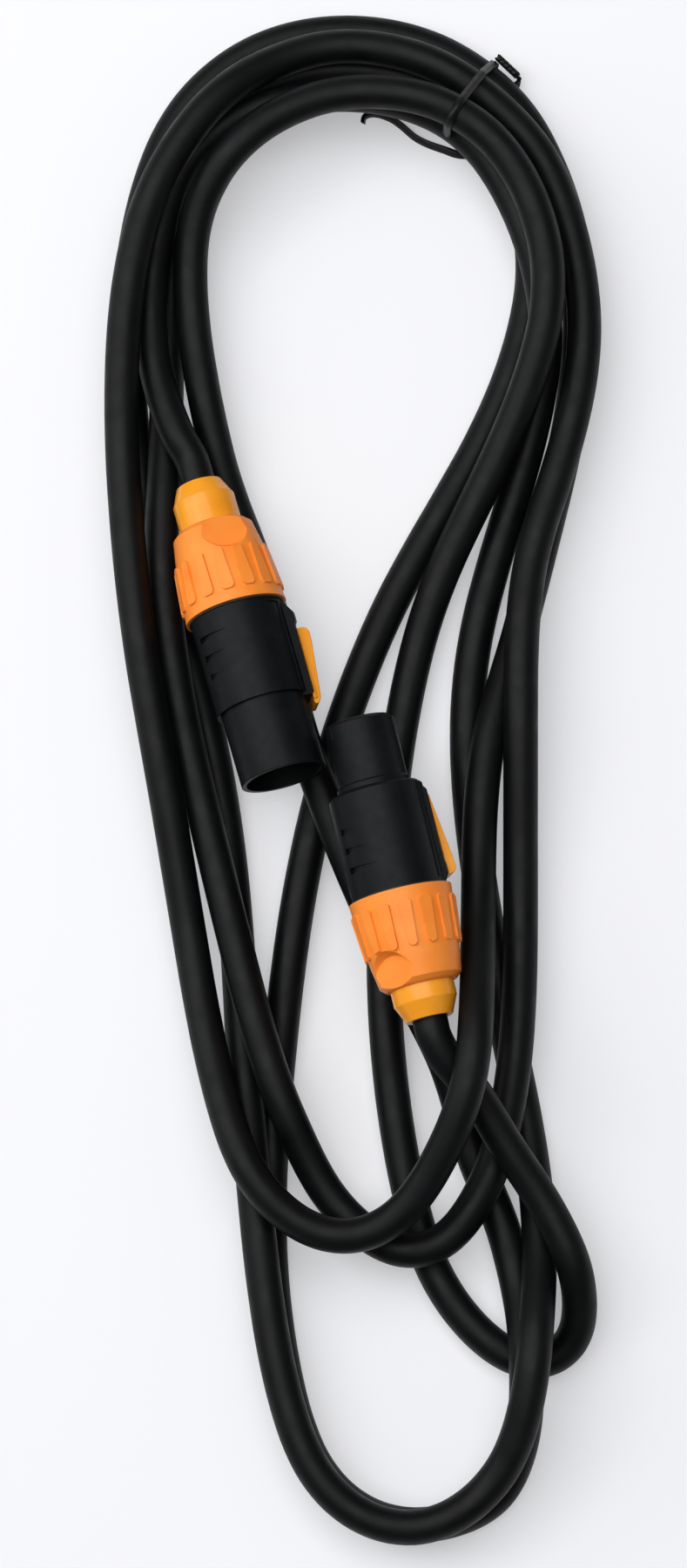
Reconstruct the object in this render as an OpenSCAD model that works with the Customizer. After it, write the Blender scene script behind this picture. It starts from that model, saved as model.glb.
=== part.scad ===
// Power extension cord, 16 A 250 V, with one pin connector and one socket
// connector that lock into each other, wound in long loops and tied with a
// twist tie.  Lengths are in millimetres and angles in degrees.  +Z is up and
// z = 0 is the surface the cord lies on.  Each connector is drawn along its
// own +Z, from the cord's exit (z = 0) to its mating end, with its latch on
// the local +X side, and is then put in its place on the pile of loops.

/* [Cord] */
// Outside diameter of the cord's rubber jacket
cord_d = 9.8; // [9.4:0.1:9.9]
// Outside diameter of one insulated conductor
core_d = 2.9; // [2.4:0.1:3.0]
// How far the jacket reaches past the seal in each connector
jacket_past = 1; // [0.5:0.5:1.5]

/* [Clamping collar] */
// Outside diameter of the amber clamping collar
collar_d = 17.8; // [17:0.2:18.6]
// Diameter of the collar's rear face, where its chamfer ends
collar_face_d = 13.2; // [12.6:0.2:14.4]
// Length of the collar that shows behind the pin connector's cap nut
inlet_collar_len = 13.2; // [11:0.2:14]
// Length of the collar that shows behind the socket connector's cap nut
outlet_collar_len = 9.2; // [8:0.2:12]
// How far behind the cap nut's front the collar's fingers end
finger_back = 10; // [9.5:0.5:11.5]
// Width of the slots between the fingers
finger_slot = 1.2; // [0.8:0.1:1.6]

/* [Cap nut] */
// Length of the cap nut
nut_len = 26; // [25:0.5:28]
// Wall of the nut at its rear end, round the collar
nut_rear_wall = 1.92; // [1.72:0.1:2.22]
// Wall of the nut at its front end, round the thread
nut_front_wall = 2.72; // [2.52:0.1:3.22]
// Number of grip ribs round the nut
rib_count = 15; // [11:2:17]
// Width of one grip rib at its front end
rib_w = 3.7; // [3:0.1:4]
// Width of one grip rib at its round rear end
rib_rear_w = 2.4; // [2:0.1:2.8]
// Length of one grip rib
rib_len = 13; // [11:0.5:13.5]
// Height of a rib above the cone at its rear end
rib_rise = 0.7; // [0.4:0.1:0.9]
// Height of a rib above the cone at its front end
rib_front_rise = 0.4; // [0.2:0.1:0.5]
// Radius of the two thumb flats at the rear of the nut
thumb_r = 7.6; // [6.6:0.2:7.8]
// Wall left between a thumb flat and the collar
thumb_wall = 1.12; // [0.92:0.1:1.52]
// Length of the thread in the nut
thread_len = 12; // [10:0.5:13]
// Pitch of the thread grooves
thread_pitch = 2; // [1.5:0.25:2.5]

/* [Housings] */
// Wall of a housing round the sleeve
housing_wall = 1.05; // [0.85:0.1:1.45]
// Length of the pin connector's housing in front of its nut
inlet_body_len = 27.7; // [27:0.1:29]
// Length of the socket connector's housing in front of its nut
outlet_body_len = 29.6; // [28.5:0.5:32]
// Height of the shoulder between a housing and its threaded tail
tail_step = 1.6; // [1.4:0.1:1.8]
// Wall of the threaded tail
tail_wall = 2; // [1.8:0.1:2.2]
// Length of the longest finger groove, measured round the housing in degrees
groove_turn = 46; // [38:2:50]
// Width of a finger groove at its wide end
groove_w = 1.8; // [1.4:0.1:2]
// Spacing of the finger grooves
groove_step = 5.5; // [4.5:0.25:6]

/* [Mating ends] */
// Diameter of the socket connector's spigot
spigot_d = 19.8; // [19.6:0.1:20]
// Length of the spigot
spigot_len = 20; // [19:0.5:21]
// Wall of the spigot
spigot_wall = 1.6; // [1.4:0.1:1.8]
// How far the ring at the spigot's root stands in front of the housing
root_ring = 2.2; // [1.6:0.2:3]
// Clearance round the spigot in the sleeve
mate_clear = 0.4; // [0.3:0.1:0.5]
// Wall of the pin connector's sleeve
sleeve_wall = 1.85; // [1.7:0.05:2]
// Length of the sleeve in front of the housing
sleeve_len = 21; // [20.6:0.1:22.8]
// Depth of the wider mouth of the sleeve, which takes the root ring
mouth_len = 5.8; // [4:0.2:6]
// Height of the four locking lugs on the spigot
lug_rise = 0.15; // [0.1:0.01:0.16]

/* [Contacts] */
// Diameter of the contact pins
pin_d = 4.0; // [3.6:0.1:4.2]
// How far a contact pin stands up from the bottom of the sleeve
pin_reach = 12; // [10:0.5:12]
// Side of the square terminal blocks
terminal_side = 5.6; // [5:0.1:5.8]
// Length of the terminal blocks
terminal_len = 9; // [8:0.5:9]

/* [Latches] */
// Width of the latch slider
latch_w = 7.6; // [7:0.2:8]
// Length of the pin connector's latch
inlet_latch_len = 22.6; // [21:0.2:23]
// Length of the socket connector's latch
outlet_latch_len = 24.4; // [23:0.2:25]
// Height of the pin connector's latch above its housing at its raised end
inlet_latch_rise = 4.6; // [4.1:0.1:4.9]
// Height of the socket connector's latch above its housing at its raised end
outlet_latch_rise = 3.2; // [3:0.1:3.6]
// How far the pin connector's latch slides back to unlock
inlet_travel = 3; // [2:0.5:3]
// How far the socket connector's latch slides back to unlock
outlet_travel = 2; // [1.5:0.25:2]
// Width of each rail beside a latch
rail_w = 2.2; // [2:0.1:2.6]

/* [Tie] */
// Width of the flat twist tie
tie_w = 2.4; // [2:0.2:3]
// Thickness of the twist tie
tie_t = 0.8; // [0.6:0.1:0.9]

/* [Hidden] */
$fn = 48;

rubber = [0.06, 0.06, 0.065];
black = [0.10, 0.10, 0.11];
orange = [1.00, 0.48, 0.16];
amber = [0.96, 0.62, 0.14];

// ---- clearances shared by every fit -------------------------------------
turn_gap = 0.08;      // radial clearance of a turning fit
seat_gap = 0.1;       // radial clearance of a fixed seat
slide_gap = 0.25;     // clearance round the latches
eps = 0.01;

// ---- where the two connectors lie ---------------------------------------
// Point where the cord leaves each connector, the heading of the connector's
// nose from +X, its pitch above the surface, and its roll about its axis.
inlet_at = [-43.5, 77, 19.6];
inlet_aim = [-74, 6.2, 80];
outlet_at = [21, -75.5, 34.6];
outlet_aim = [103.3, -2.1, 280];

// ---- diameters, each from the one inside it ------------------------------
mate_bore = spigot_d + 2 * mate_clear;
sleeve_d = mate_bore + 2 * sleeve_wall;
body_d = sleeve_d + 2 * (seat_gap + housing_wall);
tail_d = body_d - 2 * tail_step;
tail_bore = tail_d - 2 * tail_wall;
root_step = 0.5;                                // the spigot's root ring, raised
root_d = spigot_d + 2 * root_step;
mouth_d = root_d + 0.6;                         // the sleeve's wider mouth
nut_hole = collar_d / 2 + turn_gap;             // radius of the nut's rear bore
nut_rear_d = 2 * (nut_hole + nut_rear_wall);
nut_front_d = tail_d + 2 * (turn_gap + nut_front_wall);
thumb_flat = nut_hole + thumb_wall;
socket_wall = 0.7;                              // wall of a contact tube
contact_rim = 0.3;                              // insert left outside a tube
contact_r = spigot_d / 2 - spigot_wall - seat_gap - contact_rim - pin_d / 2 - socket_wall;

// ---- stations along a connector -----------------------------------------
finger_len = nut_len - finger_back;             // fingers inside the cap nut
ring_t = 0.6;                                   // room for the face ring
seal_len = 4.5;                                 // the seal round the jacket
seal_gap = 0.3;                                 // between it and the fingers
inlet_nut_z = inlet_collar_len;
outlet_nut_z = outlet_collar_len;
inlet_jacket = inlet_nut_z + finger_len + seal_gap + seal_len + jacket_past;
outlet_jacket = outlet_nut_z + finger_len + seal_gap + seal_len + jacket_past;
inlet_body_z = inlet_nut_z + nut_len + ring_t;
outlet_body_z = outlet_nut_z + nut_len + ring_t;
inlet_seam_z = inlet_body_z + inlet_body_len;
outlet_seam_z = outlet_body_z + outlet_body_len;
inlet_end_z = inlet_seam_z + sleeve_len;
outlet_end_z = outlet_seam_z + spigot_len;
sleeve_in = 8;                                  // sleeve inside the housing
rib_front = 2.1;                                // plain rim in front of the ribs

// ---- the cord's route ---------------------------------------------------
// The cord lies cut flat where it rests on the surface, a tenth of its
// diameter deep, so its centre there is at this height.
F = 3.9;
// Height where two strands rest on the tie, which passes below them.
T = 5.9;

// Out of the pin connector, up its side of the hank and over the top.
lead_out = [
  [-49.5, 91.5, 19.2], [-54, 102, 17.8], [-57.5, 113, 14.5], [-59, 131, 13.5],
  [-56.5, 154, 14], [-53, 164, 14.5], [-47.5, 174, 14.5], [-40, 182, 14.5],
  [-33.5, 186, 14.5], [-26.5, 189, 14], [-14, 192.5, 13.5], [-1.5, 194, 12.5]];
// Down the right side, under the other strands.
right_low = [
  [13.5, 192.5, 13.5], [28.5, 185.5, 14.6], [36, 178.5, 14.5], [44.5, 167, 14.5],
  [52.5, 147.5, 14.5], [55.5, 132, 14.5], [55.5, 118.5, 13], [53.5, 105, 9.5],
  [50.5, 91.5, 5], [46, 77, F], [39, 54, F], [35, 40.5, F], [32.5, 24, F],
  [31.5, 8, F], [32.5, -11, F], [35, -30.5, F], [38.5, -54, F], [44.5, -82.5, F],
  [47.5, -96, F], [50, -111, F]];
// The lower loop that reaches the foot of the hank, above its twin.
foot_upper = [
  [51.5, -124, 6.5], [52, -135, 9.8], [51.5, -143, 13.8], [51, -152, 19], [50, -161, 24.5],
  [49.5, -168.5, 25.6], [48, -179, 23.9], [45.5, -189, 20.2], [42.5, -196.5, 17],
  [38, -202.5, 15], [32, -208.5, 14.5], [25, -212.5, 14.5], [16.5, -215, 14.5], [8, -213.5, 14.5],
  [1, -210.5, 14.5], [-5, -206, 14.5], [-11, -199.5, 14.5], [-15, -191, 14.5], [-18, -182, 14.5],
  [-22, -167.5, 14.5], [-25.5, -145.5, 14.5], [-27.5, -119.5, 14], [-29, -105, 13],
  [-30, -93, 11.5], [-31, -81, 8], [-31.5, -67.5, F]];
// Up the left side on the surface and round the outside of the top.
outer_top = [
  [-32.5, -50, F], [-34.5, -25.5, F], [-37.5, -7, F], [-42.5, 19, F], [-49, 39.5, F],
  [-56, 55.5, F], [-61, 79, F], [-64, 100, F], [-65.5, 120.5, F], [-64.5, 141, F],
  [-62, 157, F], [-58.5, 170.5, F], [-54.5, 182.5, F], [-48, 193.5, F], [-38.5, 202.5, F],
  [-29.5, 208.5, F], [-20, 212, F], [-11, 214, F], [-1.5, 214.5, F], [8, 214, F],
  [17.5, 211.5, 4.4], [26.5, 208, T], [36, 202, T], [45.5, 193.5, T], [50.5, 187, 5],
  [54.5, 179.5, F],
  [59.5, 168, F], [63, 156.5, F], [65.5, 141, F], [66, 123, F], [63.5, 102.5, F],
  [59, 83, F], [54.5, 66, F], [50, 48, F], [47, 36, 5], [43.5, 24.5, 7.5],
  [40.5, 15.5, 10.5], [38, 6.5, 13], [36.5, -4, 14.5], [35.5, -15, 15]];
// The highest loop: over the socket connector's cord, round, and up the left.
high_loop = [
  [35, -27, 15.5], [35, -42.5, 19.5], [34.5, -58, 27], [34, -70.5, 35],
  [33.5, -77.5, 38.5], [33, -85, 40.5], [32, -93, 40.5], [29.5, -101, 38.5],
  [26, -110, 35], [20, -120.5, 30], [16, -126, 27.5], [10.5, -131, 25.5], [4.5, -134, 24.5],
  [-1.5, -135, 23.5], [-7.5, -134.5, 23], [-14, -132, 23], [-19.5, -128, 23.5], [-25, -122.5, 24.5],
  [-28.5, -117.5, 24.5], [-32, -110.5, 23.5], [-34.5, -103.5, 22.5], [-39.5, -86, 16.5],
  [-43, -67.5, 11], [-46, -48.5, 9.5], [-49, -31.5, 14.5], [-52, -12.5, 18.5],
  [-55.5, 6.5, 19.6], [-59.5, 26.5, 20.5], [-62, 46, 21.5], [-64, 67, 21.5],
  [-65.5, 86, 21.5], [-66, 107.5, 21.5], [-65, 129, 22.5], [-62.5, 143, 24]];
// Over the top in the middle of the bundle and down the right outside.
outer_right = [
  [-59.5, 155, 24.5], [-56, 164, 25], [-51.5, 172, 25], [-47, 179, 24.5],
  [-42.5, 185.5, 24.5], [-36, 192, 23], [-30.5, 196.5, 20.5], [-24.5, 200.5, 18],
  [-15, 205, 15.5], [-8, 206.5, 14.5], [-1.5, 207.5, 14.5], [8, 206.5, 14.5],
  [17.5, 204, 15.5], [26.5, 200.5, 16], [36, 194, 15.8], [45, 185.5, 14.5],
  [49.5, 180.5, 14.5], [53.5, 175, 14.5], [57, 169, 14.5], [61.5, 156.5, 14.5],
  [65, 142.5, 14.5], [66.5, 128, 14.5], [66, 117, 14.5], [64.5, 105.5, 14.5],
  [61.5, 92.5, 14.5], [56, 75, 14.5], [52.5, 66, 15], [50, 57.5, 15.5], [47.5, 42, 16.5],
  [47, 27, 18.5], [47, 12, 19], [47, -2.5, 17], [47, -19, 11.5], [47, -36.5, 10],
  [47, -52, 11], [46.5, -68, 14], [45.5, -81, 14.5], [44.5, -90.5, 14.5], [42.5, -101, 13.5]];
// The second loop at the middle, under the highest one, and up the left.
second_loop = [
  [40.5, -110, 13.5], [38.5, -116, 14.5], [35.5, -122, 15], [32.5, -127.5, 15],
  [29, -132, 14.5], [25, -136, 14.5], [19.5, -138.5, 14.5], [13.5, -138.5, 14.5],
  [8, -136.5, 13], [2.5, -132.5, 11.5], [-3, -127.5, 10], [-7.5, -122, 10], [-11, -116, 11.5],
  [-14.5, -109, 13.5], [-17, -103, 16], [-19.5, -98, 17.5], [-22, -91.5, 18],
  [-24.5, -83.5, 17.5], [-28, -72, 16], [-31, -60, 15], [-35, -44.5, 15],
  [-39.5, -25.5, 14], [-44, -7, 13], [-47, 5, 12.5], [-49.5, 18, 13],
  [-52.5, 35, 14], [-54.5, 51, 14.5], [-54.5, 65, 14], [-53.5, 80.5, 12],
  [-53, 98, 7], [-53.5, 115.5, F], [-53, 134, F]];
// Inside the top on the surface, down to the left and round the foot.
inner_low = [
  [-51.5, 149, F], [-49.5, 163.5, F], [-46, 175.5, F], [-40, 186.5, F], [-32.5, 194, F],
  [-24.5, 199, F], [-17, 201.5, F], [-9.5, 203, F], [-1.5, 203.5, F], [6.5, 202.5, F],
  [14.5, 201, 4.4], [22, 198, T], [30.5, 192.5, T], [38, 185.5, T], [44.5, 175.5, 4.8],
  [49.5, 164, F], [52, 152, F], [52.5, 141, F], [50.5, 128, F], [45, 109, F], [37, 92, F],
  [27.5, 76.5, F], [18.5, 60.5, F], [10.5, 47, F], [3.5, 30, F], [-4.5, 9, F],
  [-10.5, -12, F], [-16, -38, F], [-18.5, -60, F], [-20.5, -77.5, F], [-22.5, -100, F],
  [-24, -121.5, F], [-23.5, -138, F], [-22.5, -153, F], [-20, -170, F], [-16, -186.5, F],
  [-12, -196.5, F], [-5, -205, F], [1.5, -209.5, F], [8.5, -212.5, F], [16.5, -214, F], [25, -213, F],
  [35, -209.5, F], [39.5, -206, 4.5]];
// Up from the foot, under the other loops, across below both connectors.
cross_up = [
  [43, -201, 5], [45.5, -195, 6.5], [47.5, -188, 9], [48, -179, 12.5], [48, -170.5, 14.5],
  [47.5, -164, 14.5], [47.5, -157.5, 11], [46.5, -150.5, 7], [44.5, -141, 4.2], [42, -130, F],
  [38.5, -122, F], [34, -114, F], [31, -103.5, F], [29, -92.5, 5], [26, -85, 8], [22, -77, 11],
  [17, -68.5, 14], [12, -59, 14.5], [7.5, -50, 14.5], [2.5, -39, 14.5], [-2.5, -27, 14.5],
  [-6.5, -16.5, 14.5], [-10, -6.5, 14.2], [-12.5, 0.5, 13.2], [-15, 8, 8.5],
  [-17, 16.5, 5], [-19, 25.5, F], [-21.5, 38, F], [-25.5, 52, F], [-30, 64, 4.5],
  [-34.5, 74, 6.5], [-38, 84, 9.5], [-40, 93.5, 11.5], [-43, 107, 12.5],
  [-46, 123.5, 13], [-47, 139, 13.5], [-46.5, 150.5, 15]];
// Round the inside of the top as the uppermost strand, then down the middle.
inner_high = [
  [-44.5, 158, 18], [-41, 165, 21], [-37, 171, 24], [-32, 176, 25], [-26, 181.5, 25],
  [-18.5, 185.5, 24.5], [-10, 189.5, 24], [-1.5, 191, 23.5], [7.5, 191, 24], [16, 190, 24.5],
  [25, 187.5, 25.4], [32, 183, 25.4], [38.5, 178.5, 25.2], [43.5, 172.5, 25], [47.5, 166, 25],
  [51, 159, 25], [54, 149.5, 25], [55.5, 141, 25], [55.5, 133, 25], [55, 123, 25],
  [52, 113.5, 23.5], [49, 104, 20], [45, 94.5, 17], [40.5, 85, 14.5], [36, 76, 13],
  [31, 66, 11.5], [27, 58, 10.5], [23.5, 49.5, 8], [19.5, 39, 5.5], [16.5, 26.5, F],
  [14, 14, F], [12, 1.5, F], [10, -12.5, F], [9, -33, F], [8.5, -47.5, F], [8.5, -62.5, F],
  [9, -77.5, F], [11, -98, F], [14, -115.5, F], [18, -133, F], [21.5, -142, F],
  [25.5, -149, F], [30, -155.5, F], [35.5, -161.5, F], [41.5, -166, F]];
// The small turn at the right and up over the others to the socket connector.
lead_in = [
  [47, -168.5, F], [52, -168.5, F], [57, -167, 4.5], [60.5, -163.5, 6], [62.5, -159.5, 8],
  [63, -154.5, 11], [62.5, -148.5, 15], [61.5, -144, 18], [60, -139, 20], [57, -133, 20],
  [53, -125, 20.5], [48.5, -118.5, 21.5], [45, -114, 23.4], [41, -107.5, 24], [37, -101, 25.5],
  [33.5, -94.5, 27.5], [29.5, -90.5, 30], [25.5, -86.3, 32.9]];

route = concat(
  [inlet_point(inlet_jacket), inlet_point(0), inlet_point(-8)],
  lead_out, right_low, foot_upper, outer_top, high_loop, outer_right,
  second_loop, inner_low, cross_up, inner_high, lead_in,
  [outlet_point(-5), outlet_point(0), outlet_point(outlet_jacket)]);

// ---- small vector helpers ------------------------------------------------
function unit(v) = v / norm(v);
function forward(aim) = [cos(aim[1]) * cos(aim[0]), cos(aim[1]) * sin(aim[0]), sin(aim[1])];
function inlet_point(z) = inlet_at + z * forward(inlet_aim);
function outlet_point(z) = outlet_at + z * forward(outlet_aim);

// Direction of travel at point i of a path.
function heading_at(path, i) =
  i == 0 ? unit(path[1] - path[0]) :
  i == len(path) - 1 ? unit(path[i] - path[i - 1]) :
  unit(unit(path[i] - path[i - 1]) + unit(path[i + 1] - path[i]));

// One ring of a swept tube, its first corner level, cut off at the surface.
function tube_ring(path, i, r, sides, up) =
  let (t = heading_at(path, i),
       across = unit(cross(t, up)),
       over = cross(across, t))
  [for (k = [0:sides - 1])
    let (p = path[i] + r * (cos(k * 360 / sides) * across + sin(k * 360 / sides) * over))
    [p[0], p[1], max(p[2], 0)]];

// A closed tube of triangles through the points of a path.
module tube(path, r, sides, up = [0, 0, 1]) {
  n = len(path);
  points = [for (i = [0:n - 1]) each tube_ring(path, i, r, sides, up)];
  walls = [for (i = [0:n - 2], k = [0:sides - 1])
    let (a = i * sides + k, b = i * sides + (k + 1) % sides)
    each [[a, b, b + sides], [a, b + sides, a + sides]]];
  start = [for (k = [1:sides - 2]) [0, k + 1, k]];
  end = [for (k = [1:sides - 2]) (n - 1) * sides * [1, 1, 1] + [0, k, k + 1]];
  polyhedron(points = points, faces = concat(walls, start, end));
}

// Distance from point p to the piece of path between points i and i + 1.
function to_chord(path, i, p) =
  let (a = path[i], ab = path[i + 1] - a,
       u = min(1, max(0, (p - a) * ab / (ab * ab))))
  norm(p - a - u * ab);

// Least gap between passes of a tube, measured from points on each chord to
// every chord at least `skip` chords further along the path.
function least_gap(path, d, skip, parts) =
  min([for (i = [0:len(path) - skip - 2], q = [0:parts - 1])
    let (p = path[i] + (path[i + 1] - path[i]) * q / parts)
    min([for (j = [i + skip:len(path) - 2]) to_chord(path, j, p)])]) - d;

function path_length(path) =
  let (steps = [for (i = [0:len(path) - 2]) norm(path[i + 1] - path[i])])
  steps * [for (s = steps) 1];

// ---- placing -------------------------------------------------------------
module place(at, aim) {
  translate(at)
    rotate([0, 90 - aim[1], aim[0]])
      rotate([0, 0, aim[2]])
        children();
}

module inlet_place() { place(inlet_at, inlet_aim) children(); }

module outlet_place() { place(outlet_at, outlet_aim) children(); }

// A plain tube along +Z from z0 to z1.
module pipe(z0, z1, ro, ri) {
  translate([0, 0, z0])
    difference() {
      cylinder(h = z1 - z0, r = ro);
      translate([0, 0, -eps])
        cylinder(h = z1 - z0 + 2 * eps, r = ri);
    }
}

// ---- the cord ------------------------------------------------------------
cord_sides = 6;
gap_skip = 5;         // chords next along the cord that don't count as a pass
gap_parts = 3;        // points measured on each chord

module cord() {
  echo(cord_length = path_length(route), points = len(route));
  echo(least_gap = least_gap(route, cord_d, gap_skip, gap_parts));
  color(rubber) tube(route, cord_d / 2, cord_sides);
}

// Three insulated conductors fan out from the end of the jacket to the
// terminals.  They lie 120 degrees apart.
lay_r = 1.75;                                   // in the jacket, off the axis
core_gap = 0.1;                                 // from the jacket's cut end
core_in = 6.5;                                  // reach into the terminal block

function core_path(jacket_z, block_z, turn) = [
  for (s = [[jacket_z + core_gap, lay_r], [jacket_z + 1.5, lay_r],
            [block_z - 1, contact_r], [block_z + core_in, contact_r]])
    [s[1] * cos(turn), s[1] * sin(turn), s[0]]];

module core(jacket_z, block_z, turn) {
  tube(core_path(jacket_z, block_z, turn), core_d / 2, 16, [-sin(turn), cos(turn), 0]);
}

// ---- pieces that both connectors share -----------------------------------
earth_turn = 90;
line_turn = 210;
neutral_turn = 330;

cord_hole = cord_d / 2 + seat_gap;
collar_chamfer = 4;                             // length of the rear chamfer
finger_d = collar_d - 0.8;                      // across the fingers

// The clamping collar: a turned ring round the cord whose slotted fingers
// are squeezed onto the jacket by the cap nut.
module clamp_collar(nut_z) {
  finger_z = nut_z + finger_len;
  difference() {
    rotate_extrude()
      polygon([[cord_hole, 0], [collar_face_d / 2, 0], [collar_d / 2 - 0.5, collar_chamfer],
        [collar_d / 2, collar_chamfer + 1], [collar_d / 2, nut_z + 1],
        [finger_d / 2, nut_z + 1.4], [finger_d / 2, finger_z - 3],
        [cord_hole + 1.6, finger_z], [cord_hole, finger_z]]);
    for (turn = [0, 60, 120])
      rotate([0, 0, turn])
        translate([-collar_d, -finger_slot / 2, nut_z + 2.5])
          cube([2 * collar_d, finger_slot, finger_len]);
  }
}

// Radius of the nut's cone at height z above its rear end.
shoulder = 1.6;                                 // rounding of the rear edge
function nut_cone(z) =
  nut_rear_d / 2 + (nut_front_d - nut_rear_d) / 2 * pow(z / nut_len, 0.6);

nut_steps = 5;
thumb_mid = 1.4;                                // middle of a thumb flat's arc
thumb_tall = 8;
thumb_lean = 0.5;                               // lean of the wall at its front

module cap_nut(nut_z, flat_turn) {
  thread_z = nut_len - thread_len;
  rib_z = nut_len - rib_front - rib_len;
  rib_top = nut_cone(rib_z) + rib_rise;
  translate([0, 0, nut_z])
    difference() {
      union() {
        rotate_extrude()
          polygon(concat(
            [[nut_hole, 0], [nut_rear_d / 2 - shoulder, 0]],
            [for (a = [30, 60])
              [nut_rear_d / 2 - shoulder + shoulder * sin(a), shoulder - shoulder * cos(a)]],
            [for (i = [1:nut_steps]) let (z = shoulder + (nut_len - shoulder) * (i - 1) / (nut_steps - 1))
              [nut_cone(z), z]],
            [[tail_d / 2 + turn_gap, nut_len], [tail_d / 2 + turn_gap, thread_z],
             [nut_hole, thread_z - (tail_d / 2 - nut_hole)]]));
        for (i = [0:rib_count - 1])
          rotate([0, 0, flat_turn + (i + 0.25) * 360 / rib_count])
            rib(rib_z, rib_top);
      }
      for (side = [0, 180])
        rotate([0, 0, side + flat_turn])
          translate([thumb_flat, 0, thumb_mid])
            rotate([0, 90, 0])
              cylinder(h = thumb_tall, r1 = thumb_r, r2 = thumb_r + thumb_tall * thumb_lean);
    }
}

// One grip rib standing on the cone: round at its rear end, wider and
// nearly square at its front end.
rib_corner = 0.8;
module rib(z0, top) {
  root = tail_d / 2 + turn_gap + 0.3;
  slope = atan((nut_cone(nut_len) + rib_front_rise - top) / rib_len);
  translate([0, 0, z0])
    rotate([0, slope, 0])
      translate([root, 0, 0])
        rotate([0, 90, 0])
          linear_extrude(top - root)
            polygon(concat(
              [for (a = [-67.5:45:67.5])
                [-rib_rear_w / 2 * (1 - cos(a)), rib_rear_w / 2 * sin(a) / sin(67.5)]],
              [[rib_corner - rib_len, rib_w / 2], [-rib_len, rib_w / 2 - rib_corner],
               [-rib_len, rib_corner - rib_w / 2], [rib_corner - rib_len, -rib_w / 2]]));
}

// Rubber seal squeezed between the collar's fingers and the housing's tail.
module seal_ring(nut_z) {
  z0 = nut_z + finger_len + seal_gap;
  translate([0, 0, z0])
    rotate_extrude()
      polygon([[cord_hole, 0], [tail_bore / 2 - 1.6, 0], [tail_bore / 2 - seat_gap, 1.4],
        [tail_bore / 2 - seat_gap, seal_len], [cord_hole, seal_len]]);
}

// Thin rubber ring between the nut's front and the housing's shoulder.
module face_ring(nut_z) {
  pipe(nut_z + nut_len + 0.1, nut_z + nut_len + ring_t - 0.1,
    body_d / 2 + 0.4, tail_d / 2 + seat_gap);
}

// Threaded tail of a housing, with shallow thread grooves.
module tail(nut_z, body_z) {
  z0 = nut_z + nut_len - thread_len + 0.5;
  grooves = floor((thread_len - 3) / thread_pitch);
  difference() {
    pipe(z0, body_z + 1, tail_d / 2, tail_bore / 2);
    for (i = [0:grooves - 1])
      translate([0, 0, z0 + 1 + i * thread_pitch])
        difference() {
          cylinder(h = thread_pitch / 2, r = tail_d / 2 + 1);
          translate([0, 0, -eps])
            cylinder(h = thread_pitch, r = tail_d / 2 - 0.5);
        }
  }
}

// Rails beside the latch and the ramp behind it, on a housing's +X side.
module latch_bed(z_ramp, z1, ramp, top, hump) {
  side = latch_w / 2 + slide_gap + rail_w;
  intersection() {
    translate([body_d / 2 - 4, -side, z_ramp])
      cube([top + 1.5 - (body_d / 2 - 4), 2 * side, z1 - z_ramp]);
    rotate_extrude()
      polygon([[tail_bore / 2, z_ramp], [body_d / 2, z_ramp], [top + hump, z_ramp + ramp],
        [top + hump, z_ramp + ramp + 2.4], [top, z_ramp + ramp + 3.4], [top - 0.3, z1 - 1],
        [top - 1, z1], [tail_bore / 2, z1]]);
  }
}

// The latch slider, raised at its rear end for the finger.  Lips along its
// foot hold it under the rails, and a pocket below holds its spring.
lip = 0.6;                                      // how far each lip stands out
lip_h = 1.1;                                    // height of the lips
lip_at = 2.5;                                   // their start, from the rear end
post_at = 5.05;                                 // spring's stop, from the rear end
post_t = 1.2;                                   // thickness of that stop
spring_len = 6.5;                               // length of the spring at rest
pocket_w = 2.6;                                 // spring's pocket in the slider
pocket_h = 2.4;

module latch_slider(z0, length, sole, low, high) {
  difference() {
    union() {
      translate([0, latch_w / 2, z0])
        rotate([90, 0, 0])
          linear_extrude(latch_w)
            polygon([[sole, 1.2], [sole + 1.2, 0], [high - 1.6, 0], [high - 0.5, 0.5],
              [high, 1.6], [high - 0.1, 4.5], [low, length - 1.5], [low - 1, length],
              [sole + 0.3, length], [sole, length - 0.6]]);
      translate([sole, -latch_w / 2 - lip, z0 + lip_at])
        cube([lip_h, latch_w + 2 * lip, length - lip_at - 1.5]);
    }
    translate([sole - 1, -pocket_w / 2, z0 + post_at - 0.05])
      cube([pocket_h + 1, pocket_w, post_t + spring_len + 0.05]);
  }
}

// The space a latch slides in, with room for its lips.
module latch_channel(z_latch, travel, z_front, sole) {
  half = latch_w / 2 + slide_gap;
  z_rear = z_latch - travel - slide_gap;
  translate([sole - slide_gap, -half, z_rear])
    cube([body_d / 2, 2 * half, z_front - z_rear]);
  translate([sole - slide_gap, -half - lip, z_rear + lip_at])
    cube([lip_h + 2 * slide_gap, 2 * (half + lip), z_front - z_rear - lip_at]);
}

// The stop that the spring pushes against, standing in the channel.
module spring_post(z_latch, sole) {
  translate([sole - slide_gap - 0.5, -pocket_w / 2 + 0.2, z_latch + post_at])
    cube([slide_gap + 0.5 + pocket_h - 0.2, pocket_w - 0.4, post_t]);
}

spring_wire = 0.45;
spring_r = 0.85;
spring_turns = 6;
spring_steps = 8;                               // points round one turn

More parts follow.
